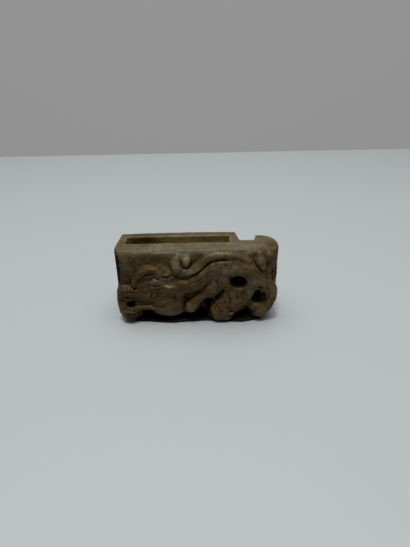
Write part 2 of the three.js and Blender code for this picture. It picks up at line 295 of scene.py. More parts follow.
# Holes drilled into the dragon.
DRILLED = {
    "below_rump": dict(at=(16.8, 18.8), size=(3.3, 2.7), crest=7, depth=6, blend=1.4, square=2),
    "beside_hind_leg": dict(at=(24.3, 10.8), size=(2.2, 1.9), crest=7, depth=6, blend=0.6, square=2),
    "above_hind_leg": dict(at=(24.5, 13.2), size=(1.3, 2.6), crest=7, depth=6, turn=-8, blend=0.6, square=2),
    "mouth_corner": dict(at=(-27.7, 8.6), size=(2, 1.5), crest=5, depth=5, blend=0.6, square=2),
}

# Incised lines: a path, half a width and a depth.
LINES = [
    ([(-23.6, 19.4), (-22.4, 20.6), (-20.2, 22.1), (-17, 22.6)], 0.35, 0.45),
    ([(-26.8, 18.2), (-26, 16.6), (-24.6, 16)], 0.45, 0.8),
    ([(-24.4, 25), (-21.4, 26), (-18, 26.6)], 0.4, 0.25),
    ([(-14.8, 21.2), (-12, 21.1), (-9.6, 21.6), (-8, 20.8), (-6, 20.2), (-3.5, 20.5)], 0.5, 0.7),
    ([(-3.5, 20.8), (0, 22.5), (2.2, 24.4), (5, 27), (7.5, 28.3), (11, 28.6), (14, 28.2)], 0.4, 0.65),
    ([(-26, 31.1), (-22, 31.3), (-19.4, 31.2)], 0.3, 0.14),
    ([(-17.6, 30.7), (-12, 30.9), (-7, 30.8)], 0.3, 0.14),
    ([(-5.8, 28.4), (-6, 26.6), (-5.2, 25.2), (-3.8, 24.9), (-2, 25.7)], 0.5, 0.6),
    ([(-19.4, 19.6), (-17.4, 20.9), (-14.4, 20.1)], 0.35, 0.6),
    ([(-19, 18.2), (-16.6, 17.4), (-14.2, 18.4)], 0.35, 0.5),
    ([(-20, 17.6), (-17, 16), (-13.6, 17)], 0.35, 0.4),
    ([(-19.4, 16.4), (-18.3, 14.6), (-18.6, 12.8), (-17.2, 11.4)], 0.4, 0.6),
    ([(-17, 15.4), (-16, 13.8), (-16.4, 12)], 0.35, 0.4),
    ([(-22.8, 18.4), (-21.4, 19.8), (-19.6, 20.6)], 0.35, 0.4),
    ([(-26.5, 10.1), (-24, 10.2), (-21.4, 10.4)], 0.5, 0.8),
    ([(-32.6, 10.8), (-31, 10.6), (-29.6, 9.8)], 0.4, 0.8),
    ([(-31, 12.3), (-26, 12.2), (-22.6, 12.1)], 0.35, 0.45),
    ([(-30.5, 14.6), (-26, 14.5), (-22.8, 14.3)], 0.35, 0.45),
    ([(-28.6, 16.6), (-28.4, 14), (-28.6, 11.6)], 0.3, 0.3),
    ([(-29.6, 6.2), (-27.6, 6.2), (-25.6, 5.8)], 0.3, 0.5),
    ([(-29.8, 4.8), (-27.6, 4.8), (-25.4, 4.3)], 0.3, 0.5),
    ([(-29.4, 3.4), (-27.4, 3.3), (-25.6, 2.9)], 0.3, 0.45),
    ([(-18.4, 8.2), (-15.6, 8), (-12.8, 8.2)], 0.6, 0.4),
    ([(-6.4, 10.6), (-4, 12.2), (0, 13.8), (2.2, 15.6), (3.8, 17.6), (5.6, 19.8)], 0.8, 0.7),
    ([(-3, 18.6), (0, 19.7), (2.6, 21.6), (5, 22.6)], 0.3, 0.3),
    ([(-2, 17.2), (0.8, 18.2), (3.2, 20.2)], 0.3, 0.25),
    ([(-5.4, 7), (-5, 9.8), (-3.4, 11.6)], 0.5, 0.5),
    ([(7, 11), (8.4, 11.9), (9.6, 13.3), (10.5, 15.2), (10.8, 16.6)], 0.8, 1.15),
    ([(12.6, 14.6), (12.9, 12), (13.4, 10.4), (13.2, 8.8)], 0.55, 0.35),
    ([(16.2, 15.6), (16, 13), (16.6, 10.8)], 0.5, 0.3),
    ([(18.6, 14.6), (17.8, 12)], 0.5, 0.2),
    ([(5.2, 19.6), (6.4, 17.2), (6, 14.6)], 0.4, 0.3),
    ([(7.6, 20.6), (8.6, 18), (8.4, 15)], 0.4, 0.4),
    ([(10.4, 8.6), (12.4, 7.2), (14.4, 7.2)], 0.4, 0.4),
    ([(6.6, 6.6), (8, 8), (8.6, 9.6)], 0.35, 0.3),
    ([(27.6, 17.6), (29, 14.6), (29, 11.4), (27.6, 8.6)], 0.4, 0.4),
    ([(15, 26.6), (18, 25.8), (21, 24)], 0.4, 0.2),
    ([(16.4, 25), (19, 24.2), (21.4, 22.4)], 0.35, 0.16),
    ([(18, 23.2), (20.4, 21.8), (22, 19.8)], 0.35, 0.2),
    ([(23, 30), (22.9, 27.6), (24.2, 25), (26.4, 22.6)], 0.4, 0.6),
    ([(23, 23.8), (25.4, 21.6)], 0.4, 0.3),
    ([(26.2, 28.4), (26.4, 26), (27, 24.2)], 0.25, 0.25),
    ([(24.2, 17.4), (25.4, 16.6), (26.8, 16.2)], 0.6, 0.8),
    ([(31, 9.2), (30, 6.8), (28.6, 4.6)], 0.4, 0.5),
    ([(29.8, 25), (30.2, 21.8), (30.6, 18.4)], 0.45, 0.65),
]

# Small pits in the hide: where they lie and how wide they are, then how they slant and how deep they go.
PITS = [
    ((5.5, 20.2), 0.5),
    ((5.4, 18.2), 0.45),
    ((8.2, 17), 0.5),
    ((9, 25.4), 0.4),
    ((9.3, 23), 0.45),
    ((11, 10.4), 0.5),
    ((8.9, 7.6), 0.6),
    ((-9.6, 13), 0.5),
    ((-13.8, 16.4), 0.4),
]
PIT_ALONG = 0.3
PIT_DOWN = 0.2
PIT_DEPTH = 0.35

# The hair of the mane and the dots below the cheek repeat along a row.
MANE = dict(
    first=-12.4, step=1.05, strands=4, top=14.2, middle=11, bottom=7.6, bend=0.5, width=0.4, depth=0.15
)
DOTS = dict(first=-16.4, step=1.55, number=4, height=13.2, along=0.2, down=0.3, width=0.4, depth=0.2)

# The carved side is browner and darker than the rest, partly as painted shade of its upright face, from here
# to there through the stone's depth.
FRONT_FADE = (-0.6, 1.6)

# Unevenness left by hand work and wear: its grain, how much, and a seed.
# Away from the carved side it fades to a small part.
WEAR = [(4.5, 0.1, 11), (1.9, 0.08, 12), (0.9, 0.05, 13)]
WEAR_FADE = (0.2, 1.5)

# Stained places in the stone, and places where shade or highlight is painted on: where, how far they reach,
# and how strong they are. A strength above 1 widens the place where the colour is full.
RUSSET = [
    ((-18, -3, 25), (4, 3, 1.6), 0.8),
    ((-25.2, -3, 19.5), (1.2, 3, 3), 0.9),
    ((-29, -2, 15.5), (1.3, 3, 3), 0.7),
    ((-27.5, -3, 5), (2.4, 3, 2.2), 1),
    ((-14, -4, 7.2), (4, 3, 1.6), 0.8),
    ((-22, -3, 9.2), (2.2, 2, 1), 0.7),
    ((-6, -3, 22.6), (1.6, 3, 1.2), 1),
    ((-7.6, -3, 26.4), (1.6, 3, 2), 0.6),
    ((-5.5, -4, 18.2), (3.4, 3, 2), 0.9),
    ((4.5, -4, 14.5), (3, 3, 2.6), 0.6),
    ((15, -4, 8), (3.5, 3, 4), 0.9),
    ((9, -4, 6), (3.5, 3, 3), 0.9),
    ((13, -4, 4.4), (3, 3, 2), 0.8),
    ((20, -4, 24.5), (4, 3, 2.2), 0.8),
    ((11, -4, 28), (3, 3, 1.6), 0.6),
    ((28, -3, 17), (2, 3, 2), 0.6),
    ((30.5, -1, 12.5), (2, 3, 2.6), 0.7),
    ((31, 2, 30.5), (3, 6, 3.8), 1.2),
    ((31, 0, 22), (1.4, 4, 4), 0.9),
    ((24.7, -2.5, 28.5), (2, 2, 2.5), 0.7),
    ((-11, -4, 9), (5, 3, 4), 0.55),
    ((6, -4, 17), (4, 3, 4), 0.6),
    ((-28.8, 1, 31), (2.6, 5, 2.4), 0.7),
    ((8, 18, 31), (6, 2, 3), 0.4),
    ((-21, 14, 28), (5, 4, 8), 0.8),
    ((-12, 19, 9), (9, 3, 6), 0.5),
    ((10, 19, 22), (7, 3, 5), 0.4),
]
# Black laid along the front of the left end, with its edge made ragged by noise in the material.
LEFT_EDGE_BLACK = [
    ((-32.6, 1.2, 24), (1.9, 3, 6.4), 1.4),
    ((-33, 2, 16), (1, 2.6, 5), 0.8),
    ((-33.2, 0.6, 11.5), (0.7, 3, 7), 0.8),
]
# Painted shade: black laid where little light reaches, in the pockets and drilled holes, along the strip by
# the table, under the chest and hind paw, on the right end and on the hook's top corner.
PAINTED_SHADE_SPOTS = [
    ((0, -0.5, 0.2), (60, 5, 1.3), 1),
    ((10.5, -3, 0), (4.5, 4, 1.7), 1),
    ((-21.2, 2.5, 2.6), (2.8, 4.6, 2.8), 1),
    ((-12.5, -1, 0.4), (8, 4, 2.3), 1),
    ((-1, 2.5, 1.4), (6.5, 5, 2.4), 1),
    ((3.8, 3, 6), (2.5, 4, 5), 1),
    ((19.4, 2.5, 2.4), (3.3, 5, 2.5), 1),
    ((25, 1, 11.7), (2.8, 4.2, 3.2), 1),
    ((31.9, 0.6, 21.5), (1.2, 2.6, 4.4), 0.6),
    ((16.8, 2.4, 18.8), (4.2, 3.4, 3.6), 1),
    ((-27.7, 1, 8.9), (2.4, 3.6, 1.9), 1),
    ((30.5, 4, 32), (2.6, 3, 2), 0.38),
]
# Brown darkening of the stone, and painted shade: on the shadowed ground beside the curl and along the
# rounded top edge, in grooves, on the shaded side of the hind leg, on the right end, and over lit tops to
# dull them.
BROWNING_AND_SHADE = [
    ((-28, -2, 13), (4, 3, 3.4), 1),
    ((-28, -3, 4.4), (3, 3, 2.6), 1.3),
    ((-21, -2.2, 23), (5, 3, 3), 1.1),
    ((-15, -3, 14.5), (4.5, 3, 4), 0.4),
    ((-18, 0.5, 28.6), (9, 2.4, 3), 1.2),
    ((-29, 0, 21.5), (3, 2, 3), 1),
    ((1, 0, 29.4), (3, 2, 2.4), 0.9),
    ((-5, -4, 17.6), (5, 3, 2.4), 1),
    ((30, 0, 28), (2.6, 3, 4), 0.7),
    ((27.5, 1.6, 31.6), (4, 2.2, 1.8), 1.2),
    ((31, 3.6, 32), (3, 4, 3), 1.6),
    ((-21.5, 15, 28), (5, 1.6, 4), 1.4),
    ((16.8, -3, 19), (4.8, 3, 3.8), 0.5),
    ((0, 1.6, 31.6), (50, 1.8, 1.6), 0.55),
    ((12, 0.7, 31.4), (15, 1.6, 1.3), 1.1),
    ((-25, 17.6, 32), (8, 2.4, 2), 1),
    ((0, -3, 14.8), (3.6, 2.6, 1.5), 1),
    ((-29, -1, 17.6), (2.8, 3, 1.8), 1.4),
    ((31.2, 0, 22), (1.6, 4, 4), 1.1),
    ((-30, 9, 32), (3, 6, 2), 0.5),
    ((9, -3, 12.8), (2, 3, 2.4), 1),
    ((-12, -3, 21.4), (3.6, 2, 0.7), 0.8),
    ((24, -3, 6), (3, 3, 2), 0.4),
]
PLUM = [
    ((-8, 17.6, 32), (30, 2, 1.6), 1),
    ((-12, 0, 27.5), (2, 2, 2.6), 0.8),
    ((-13, -3.6, 4.4), (7, 3, 1.6), 0.9),
    ((7, -4, 17.6), (2.4, 3, 3), 0.7),
    ((9, -4, 3), (4, 3, 1.8), 0.8),
    ((-10.5, -3, 19), (2.4, 2, 1.4), 0.6),
    ((22, -4, 15), (1.6, 3, 4), 0.7),
    ((-30, 0, 24), (2, 2, 5), 0.7),
]
# Paler stone, and painted highlights on crests that face up: the curl, the tail's top edge, the cheek fold,
# the leaf and the rump.
PALE_AND_HIGHLIGHT = [
    ((-1, -3, 24.2), (3, 3, 1.8), 1.5),
    ((-8, -2, 27), (2.2, 3, 2.6), 1),
    ((-4, -2, 28), (2, 3, 2), 1),
    ((8, -3, 31.2), (6, 2, 1), 0.8),
    ((-10.8, -4, 17.5), (2.6, 3, 0.8), 1.1),
    ((-2.5, -4, 7), (2.2, 3, 2.6), 0.4),
    ((13.5, -4, 24.8), (4.5, 3, 2.4), 0.8),
    ((25, -2, 28.6), (2.2, 3, 2.6), 0.6),
    ((21.5, -4, 16), (1.6, 3, 4), 0.4),
    ((7, -4, 16.6), (2.4, 3, 3), 0.4),
    ((30.6, -2, 13), (2, 4, 4), 0.4),
    ((-12, -4, 5), (5, 3, 2), 0.4),
    ((20.5, -4, 26), (3, 3, 2), 0.4),
    ((-16.6, -4, 19.2), (2.4, 2, 1.4), 0.5),
    ((22, -4, 19.4), (2.4, 3, 3), 0.5),
    ((20, 5, 32.4), (6, 3, 1.2), 0.4),
    ((25.5, -4, 17.8), (2.4, 3, 2.2), 0.5),
]
# Honey colour with painted light: the walls deep in the belt slot made much brighter than the stone
# elsewhere.
HONEY_AND_SLOT_LIGHT = [
    ((-5, 14.6, 27), (11, 1, 3.8), 1.5),
    ((9, 14.6, 27), (6, 1, 3.8), 1.3),
    ((-28.6, 11.5, 28), (0.8, 6, 4), 1),
    ((13.3, 11.5, 28), (0.8, 6, 4), 1),
]
STAINS_AND_PAINTED_LIGHT = {
    "russet": RUSSET,
    "left_edge_black": LEFT_EDGE_BLACK,
    "painted_shade": PAINTED_SHADE_SPOTS,
    "browning_and_shade": BROWNING_AND_SHADE,
    "pale_and_highlight": PALE_AND_HIGHLIGHT,
    "plum": PLUM,
    "honey_and_slot_light": HONEY_AND_SLOT_LIGHT,
}

# The stone's colours, as shares of the red, green and blue light that it sends back.
OLIVE = (0.055, 0.042, 0.013)
TAN = (0.109, 0.094, 0.05)
CREAM = (0.165, 0.145, 0.084)
OCHRE = (0.12, 0.088, 0.024)
RUST = (0.14, 0.064, 0.018)
# Honey colour, far brighter than the stone, as painted light in the slot.
LIT_GOLD = (0.38, 0.26, 0.083)
# A brown, darkening multiplier for the carved side, partly painted shade.
UMBER_AND_FRONT_SHADE = (0.74, 0.575, 0.355)
# SHADE darkens the polish streaks and brown spots, and also lays painted shade.
SHADE = (0.5, 0.41, 0.24)
PLUM_GREY = (0.07, 0.055, 0.034)
# Pale stone colour that also serves as painted highlight.
BONE_HIGHLIGHT = (0.22, 0.183, 0.105)
DIM = (0.5, 0.48, 0.45)
# Soil and painted shade in creases.
EARTH_AND_SHADE = (0.03, 0.017, 0.0035)
BLACK = (0.006, 0.005, 0.004)

# The stone's noises: how many swells to a metre, detail, roughness, distortion and stretch.
NOISES = {
    "cloud": (110, 3, 0.5, 0.5),
    "tint": (190, 2, 0.5, 0.8),
    "patch": (420, 2, 0.5, 0.8),
    "mottle": (520, 5, 0.62, 0.8),
    "fleck": (1900, 4, 0.6),
    "vein": (210, 6, 0.6, 1.2),
    "streak": (900, 4, 0.6, 0.0, (0.05, 1, 1)),
}

# Weights of fold, cloud and mottle in what counts as high, and of the black left edge, patch and mottle in
# its ragged outline.
HEIGHT_MIX = (0.8, 0.7, 0.4)
RAGGED_MIX = (1.0, 0.8, 0.4)

# Where a noise, fold or stain brings in a colour: from, to, and the share at each (0 and 1 if not given).
# A crack runs where the vein noise is near its middle.
PATCHY_STEP = (0.34, 0.6, 0.3, 1.0)
TAN_STEP = (0.4, 0.56)
CREAM_STEP = (0.56, 0.72)
VARIED_STEP = (0.0, 1.0, 0.35, 1.0)
OCHRE_STEP = (0.5, 0.38, 0.0, 0.75)
RUST_STEP = (0.56, 0.68, 0.0, 0.6)
MOTTLE_STEP = (0.55, 0.35)
FLECK_STEP = (0.54, 0.36)
STREAK_STEP = (0.5, 0.64, 0.0, 0.55)
UMBER_AND_FRONT_SHADE_STEP = (0.36, 0.6, 1.0, 0.75)
CRACK_MIDDLE = 0.5
CRACK_STEP = (0.03, 0.0, 0.0, 0.5)
SHADE_BREAKUP_STEP = (0.38, 0.62, 0.93, 1.0)
FOLD_STEP = (-0.035, -0.21)
DELL_STEP = (-0.2, -0.6)
CLEFT_STEP = (0.0, 1.0, 0.2, 0.78)
PAINTED_SHADE_STEP = (0.25, 0.6)
LEFT_EDGE_BLACK_STEP = (0.72, 1.15)

# The polish: roughness on clean stone and where it is painted black, bump in metres, and how light sinks in.
SHINE_STEP = (0.35, 0.65, 0.12, 0.28)
DULL_STEP = (0.2, 0.8, 0.3, 0.85)
BUMP_STRENGTH = 0.9
BUMP_HEIGHT = 0.00012
GLOSS = 0.13
GLOW = 0.08
GLOW_RADIUS = (1, 0.8, 0.4)
GLOW_SCALE = 0.0008

# The stage and its lamps, in metres and watts.
TABLE_COLOUR = (0.398, 0.424, 0.425)
TABLE_ROUGHNESS = 0.6
FLOOR_HALF = 1.5
FLOOR_BACK = 0.34
WALL_COLOUR = (0.06, 0.06, 0.06)
WALL_ROUGHNESS = 0.9
WALL_GLOW = 0.26
WALL_AT = 0.9
WALL_HALF = 3
WALL_FOOT = -1.5
WALL_TOP = 2
LAMPS = {
    "overhead": dict(at=(-0.03, 0.03, 0.9), size=1.1, power=7.3),
    "window": dict(at=(-0.03, -0.16, 0.8), size=0.1, power=2.5),
}
SKY_COLOUR = (0.95, 0.98, 1)
SKY_STRENGTH = 0.12

# The camera, close and from above, rolled a little: its place in the carver's frame, angles in degrees.
CAMERA_AT = np.array([3.4, -146.3, 98.2])
CAMERA_DOWN = 27.6
CAMERA_ROLL = -1.15
CAMERA_LENS = 27.05
CAMERA_NEAREST = 0.005

# Sampling axes: each runs along one side of the sampled space.
count = np.ceil((HIGH - LOW) / VOXEL).astype(int) + 1
axis_x, axis_y, axis_z = (LOW[i] + VOXEL * np.arange(count[i]) for i in range(3))


def window(low, high):
    """The slices of the grid that cover a box, and the coordinates inside it."""
    cut = []
    for i, axis in enumerate((axis_x, axis_y, axis_z)):
        first = max(int((low[i] - LOW[i]) / VOXEL), 0)
        last = min(int((high[i] - LOW[i]) / VOXEL) + 2, len(axis))
        cut.append(slice(first, last))
    x, y, z = (axis[part].astype(np.float32) for axis, part in zip((axis_x, axis_y, axis_z), cut))
    return tuple(cut), x[:, None, None], y[None, :, None], z[None, None, :]


def soft_min(a, b, k):
    """The union of two fields, with the joint filled over a width k."""
    mix = np.clip(0.5 + 0.5 * (b - a) / k, 0, 1)
    return b + (a - b) * mix - k * mix * (1 - mix)


def soft_max(a, b, k):
    """What two fields have in common, with the edge worn over a width k."""
    return -soft_min(-a, -b, k)


def curve(path, per_span=10):
    """A smooth line through the points of a path, as many short straight steps."""
    points = np.array(path, dtype=float)
    ends = np.vstack([2 * points[0] - points[1], points, 2 * points[-1] - points[-2]])
    t = np.linspace(0, 1, per_span, endpoint=False)[:, None]
    steps = []
    for before, start, stop, after in zip(ends, ends[1:], ends[2:], ends[3:]):
        steps.append(
            start
            + 0.5 * t * (stop - before)
            + t**2 * (before - 2.5 * start + 2 * stop - 0.5 * after)
            + t**3 * (1.5 * (start - stop) + 0.5 * (after - before))
        )
    return np.vstack([*steps, points[-1:]])


def nearest(line, x, z):
    """Distance in the plate's plane to a line of short steps, and how far along it that is, 0 to 1."""
    lengths = np.hypot(*np.diff(line, axis=0).T)
    travelled = np.concatenate([[0], np.cumsum(lengths)])
    best = np.full(np.broadcast_shapes(x.shape, z.shape), FAR, dtype=np.float32)
    along = np.zeros_like(best)
    for start, stop, length, done in zip(line, line[1:], lengths, travelled):
        ahead = (stop - start) / max(length, SMALL)
        step = np.clip((x - start[0]) * ahead[0] + (z - start[1]) * ahead[1], 0, length)
        gap = np.hypot(x - start[0] - step * ahead[0], z - start[1] - step * ahead[1])
        closer = gap < best
        best = np.where(closer, gap, best)
        along = np.where(closer, (done + step) / travelled[-1], along)
    return best, along


def stops(values, along):
    """Values given at even stops, read at places along the way."""
    return np.interp(along, np.linspace(0, 1, len(values)), values).astype(np.float32)


def swelling(places, sizes, square):
    """Distance to an oval form, from places measured in half sizes; a higher square flattens its top."""
    powers = [np.abs(place) ** square for place in places]
    reach = sum(powers) ** (1 / square) + SMALL
    pulls = [(np.abs(place) ** (square - 1) / size) ** 2 for place, size in zip(places, sizes)]
    slope = np.sqrt(sum(pulls)) / reach ** (square - 1) + SMALL
    return (reach - 1) / slope


def join(field, part, form, blend, cut):
    """Adds a form to one part of the field, or cuts it out, with a soft joint."""
    if cut:
        field[part] = soft_max(field[part], -form, blend)
    else:
        field[part] = soft_min(field[part], form, blend)


def limb(field, path, width, crest, depth=3, blend=0.6, square=2.3, cut=False):
    """Adds a rounded limb along a path of (x, z) points, or cuts a channel of that form."""
    line = curve(path)
    spread = max(width) + MARGIN
    low = [line[:, 0].min() - spread, -max(crest) - MARGIN, line[:, 1].min() - spread]
    high = [line[:, 0].max() + spread, 2 * depth - min(crest) + MARGIN, line[:, 1].max() + spread]
    part, x, y, z = window(low, high)
    across, along = nearest(line, x, z)
    half = stops(width, along)
    deep = (y - depth + stops(crest, along)) / depth
    join(field, part, swelling((across / half, deep), (half, depth), square), blend, cut)


def oval(field, at, size, crest, depth=3.5, turn=0, blend=0.6, square=2.3, cut=False):
    """Adds an oval swelling at (x, z), or cuts an oval hollow."""
    spread = max(size) + MARGIN
    low = [at[0] - spread, -crest - MARGIN, at[1] - spread]
    high = [at[0] + spread, 2 * depth - crest + MARGIN, at[1] + spread]
    part, x, y, z = window(low, high)
    c, s = math.cos(math.radians(turn)), math.sin(math.radians(turn))
    u = (c * (x - at[0]) + s * (z - at[1])) / size[0]
    w = (-s * (x - at[0]) + c * (z - at[1])) / size[1]
    deep = (y - depth + crest) / depth
    join(field, part, swelling((u, deep, w), (size[0], depth, size[1]), square), blend, cut)


def groove(field, path, width, depth):
    """An incised line: the surface is set back by depth along a path, softly over its width."""
    line = curve(path)
    spread = GROOVE_SPREAD * width
    low = [line[:, 0].min() - spread, GROOVE_FRONT, line[:, 1].min() - spread]
    high = [line[:, 0].max() + spread, GROOVE_BACK, line[:, 1].max() + spread]
    part, x, y, z = window(low, high)
    across, along = nearest(line, x, z)
    fade = np.minimum(1, GROOVE_TAPER * np.minimum(along, 1 - along) + GROOVE_END)
    fade = fade * np.clip(GROOVE_BACK - y, 0, 1)
    field[part] += depth * fade * np.exp(-((across / width) ** 2))


def outline_distance(points, u, v):
    """Signed distance to a closed outline in a plane, less than 0 inside."""
    best = np.full(np.broadcast_shapes(u.shape, v.shape), FAR)
    inside = np.zeros(best.shape, dtype=bool)
    for (u0, v0), (u1, v1) in zip(points, np.roll(points, -1, axis=0)):
        du, dv = u1 - u0, v1 - v0
        step = np.clip(((u - u0) * du + (v - v0) * dv) / max(du * du + dv * dv, SMALL), 0, 1)
        best = np.minimum(best, np.hypot(u - u0 - step * du, v - v0 - step * dv))
        if v0 != v1:
            crosses = ((v0 <= v) != (v1 <= v)) & (u < u0 + (v - v0) * du / dv)
            inside ^= crosses
    return np.where(inside, -best, best).astype(np.float32)


def bezier(*points, steps=8):
    """Points along a Bezier curve, without its last one."""
    row = np.array(points, dtype=float)
    out = []
    for t in np.linspace(0, 1, steps, endpoint=False):
        level = row
        while len(level) > 1:
            level = level[:-1] * (1 - t) + level[1:] * t
        out.append(level[0])
    return out


def front_corner(end, inward):
    """The rounding from the ground of the plate to where one of its ends is widest."""
    along, deep = CORNER_PULL
    return [
        (end + CORNER_IN * inward, 0),
        (end + along * inward, deep),
        (end, CORNER_DEPTH),
        (end, END_WIDEST),
    ]


def block():
    """The plate, loop, notch and hook, with softly worn edges."""
    plan = np.array(
        [
            *bezier(*front_corner(RIGHT_END, -1)),
            *bezier((RIGHT_END, END_WIDEST), *HOOK_ROUND),
            HOOK_ROUND[-1],
            (HOOK_TIP, HOOK_BACK),
            *bezier(*HOOK_INSIDE),
            *bezier(*NOTCH_CORNER),
            LOOP_CORNER,
            *bezier(*LOOP_BACK),
            LOOP_BACK[-1],
            LEFT_CORNER,
            *bezier(*reversed(front_corner(LEFT_END, 1))),
        ]
    )
    slot_back = PLATE_DEPTH + SLOT_DEPTH
    slot = np.array(
        [(SLOT_LEFT, PLATE_DEPTH), (SLOT_RIGHT, PLATE_DEPTH), (SLOT_RIGHT, slot_back), (SLOT_LEFT, slot_back)]
    )
    x, y = axis_x[:, None], axis_y[None, :]
    across = outline_distance(plan, x, y)
    across = soft_max(across, -outline_distance(slot, x, y), SLOT_WEAR)

    side = np.array(
        [
            *bezier(*SIDE_FOOT),
            *bezier((0, HEIGHT - FRONT_ROUND_DOWN), (0, HEIGHT), (FRONT_ROUND_IN, HEIGHT)),
            (BEYOND, HEIGHT),
            (BEYOND, 0),
        ]
    )
    upright = outline_distance(side, axis_y[:, None], axis_z[None, :])
    front = np.array([*LEFT_SIDE, *bezier(*LEFT_FOOT), *bezier(*RIGHT_FOOT), RIGHT_SIDE])
    face = outline_distance(front, axis_x[:, None], axis_z[None, :])
    field = soft_max(across[:, :, None], upright[None, :, :], EDGE_WEAR)
    return soft_max(field, face[:, None, :], EDGE_WEAR).astype(np.float32)


def unevenness(grain, amount, seed):
    """Soft random swells over the whole sampled space, grain millimetres apart."""
    coarse = np.random.default_rng(seed).normal(0, amount, np.ceil((HIGH - LOW) / grain).astype(int) + 2)
    for axis, line in enumerate((axis_x, axis_y, axis_z)):
        place = (line - LOW[axis]) / grain
        cell = place.astype(int)
        part = place - cell
        part = part * part * (3 - 2 * part)
        shape = [-1 if i == axis else 1 for i in range(3)]
        part = part.reshape(shape)
        coarse = np.take(coarse, cell, axis) * (1 - part) + np.take(coarse, cell + 1, axis) * part
    return coarse.astype(np.float32)


def carve():
    """The whole buckle as a field: block, pockets, dragon, holes, lines and wear, in that order."""
    field = block()
    for pocket in POCKETS.values():
        limb(field, cut=True, **pocket)
    for mass in MASSES.values():
        oval(field, **mass)
    for part in LIMBS.values():
        limb(field, **part)
    for detail in DETAILS.values():
        oval(field, **detail)
    for hole in DRILLED.values():
        oval(field, cut=True, **hole)
    for path, width, depth in LINES:
        groove(field, path, width, depth)
    for i in range(MANE["strands"]):
        x = MANE["first"] + i * MANE["step"]
        strand = [(x, MANE["top"]), (x + MANE["bend"], MANE["middle"]), (x, MANE["bottom"])]
        groove(field, strand, MANE["width"], MANE["depth"])
    for i in range(DOTS["number"]):
        x = DOTS["first"] + i * DOTS["step"]
        dot = [(x, DOTS["height"]), (x + DOTS["along"], DOTS["height"] - DOTS["down"])]
        groove(field, dot, DOTS["width"], DOTS["depth"])
    for (x, z), width in PITS:
        groove(field, [(x, z), (x + PIT_ALONG, z - PIT_DOWN)], width, PIT_DEPTH)
    carved = np.clip(WEAR_FADE[1] - axis_y, WEAR_FADE[0], 1)[None, :, None].astype(np.float32)
    for grain, amount, seed in WEAR:
        field += carved * unevenness(grain, amount, seed)
    return soft_max(field, -axis_z[None, None, :].astype(np.float32), FOOT_WEAR)


def mesh_from(field):
    """The surface of the field as a mesh, still in the carver's frame."""
    grid = openvdb.FloatGrid()
    grid.background = float(field.max())
    grid.copyFromArray(np.ascontiguousarray(field, dtype=np.float32))
    points, quads = grid.convertToQuads(0.0)
    mesh = bpy.data.meshes.new("carving")
    mesh.from_pydata((LOW + points * VOXEL).tolist(), [], quads.tolist())
    return mesh


def thinned(mesh):
    """The same surface with fewer faces, most of them where it bends most. A quad counts as two."""
    holder = bpy.data.objects.new("holder", mesh)
    bpy.context.collection.objects.link(holder)
    thin = holder.modifiers.new("thin", "DECIMATE")
    thin.ratio = FACES / (2 * len(mesh.polygons))
    graph = bpy.context.evaluated_depsgraph_get()
    result = bpy.data.meshes.new_from_object(holder.evaluated_get(graph))
    bpy.data.objects.remove(holder)
    bpy.data.meshes.remove(mesh)
    return result


def in_triangles(work):
    """Drops faces that have no area, and splits those with more than three corners."""
    bmesh.ops.dissolve_degenerate(work, edges=work.edges, dist=TOUCHING)
    bmesh.ops.triangulate(work, faces=[face for face in work.faces if len(face.verts) > 3])


def one_body(work):
    """Leaves only the largest connected part, without specks shut up in the stone."""
    parts = []
    seen = set()
    for first in work.verts:
        if first in seen:
            continue
        seen.add(first)
        part = [first]
        for point in part:
            for edge in point.link_edges:
                other = edge.other_vert(point)
                if other not in seen:
                    seen.add(other)
                    part.append(other)
        parts.append(part)
    parts.sort(key=len)
    specks = [point for part in parts[:-1] for point in part]
    bmesh.ops.delete(work, geom=specks, context="VERTS")


def evenly_cut(mesh):
    """Cuts long edges, so that the flat faces carry the stone's stains too."""
    work = bmesh.new()
    work.from_mesh(mesh)
    in_triangles(work)
    one_body(work)
    for _ in range(MOST_CUTS):
        long = [edge for edge in work.edges if edge.calc_length() > LONGEST_EDGE]
        if not long:
            break
        bmesh.ops.subdivide_edges(work, edges=long, cuts=1)
        in_triangles(work)
    work.to_mesh(mesh)
    work.free()


def spread_out(field, reach):
    """The field averaged over its neighbourhood, twice along each axis."""
    cells = max(int(round(reach / VOXEL)), 1)
    wide = 2 * cells + 1
    for axis in (0, 1, 2, 0, 1, 2):
        pad = [(0, 0)] * 3
        pad[axis] = (cells + 1, cells)
        total = np.cumsum(np.pad(field, pad, mode="edge"), axis=axis, dtype=np.float32)
        ahead = [slice(None)] * 3
        behind = [slice(None)] * 3
        ahead[axis] = slice(wide, None)
        behind[axis] = slice(None, -wide)
        field = (total[tuple(ahead)] - total[tuple(behind)]) / wide
    return field


def read_at(field, points):
    """The field between its samples, at points in the carver's frame."""
    place = (points - LOW) / VOXEL
    low = np.clip(np.floor(place).astype(int), 0, np.array(field.shape) - 2)
    part = (place - low).astype(np.float32)
    value = np.zeros(len(points), dtype=np.float32)
    for i in (0, 1):
        for j in (0, 1):
            for k in (0, 1):
                share = np.ones(len(points), dtype=np.float32)
                for axis, far in enumerate((i, j, k)):
                    share *= part[:, axis] if far else 1 - part[:, axis]
                value += share * field[low[:, 0] + i, low[:, 1] + j, low[:, 2] + k]
    return value


def spot_amount(points, spots):
    """How strongly each point is covered by a list of spots, real stains and painted shade and light alike.
    From 1 up the colour is full.
    """
    amount = np.zeros(len(points))
    for centre, reach, strength in spots:
        gap = (((points - centre) / reach) ** 2).sum(axis=1)
        amount = np.maximum(amount, strength * np.exp(-gap))
    return amount


def mark(mesh, name, values):
    """Keeps one number for each point of the mesh, for the material to read."""
    layer = mesh.attributes.new(name, "FLOAT", "POINT")
    layer.data.foreach_set("value", np.asarray(values, dtype=np.float32))


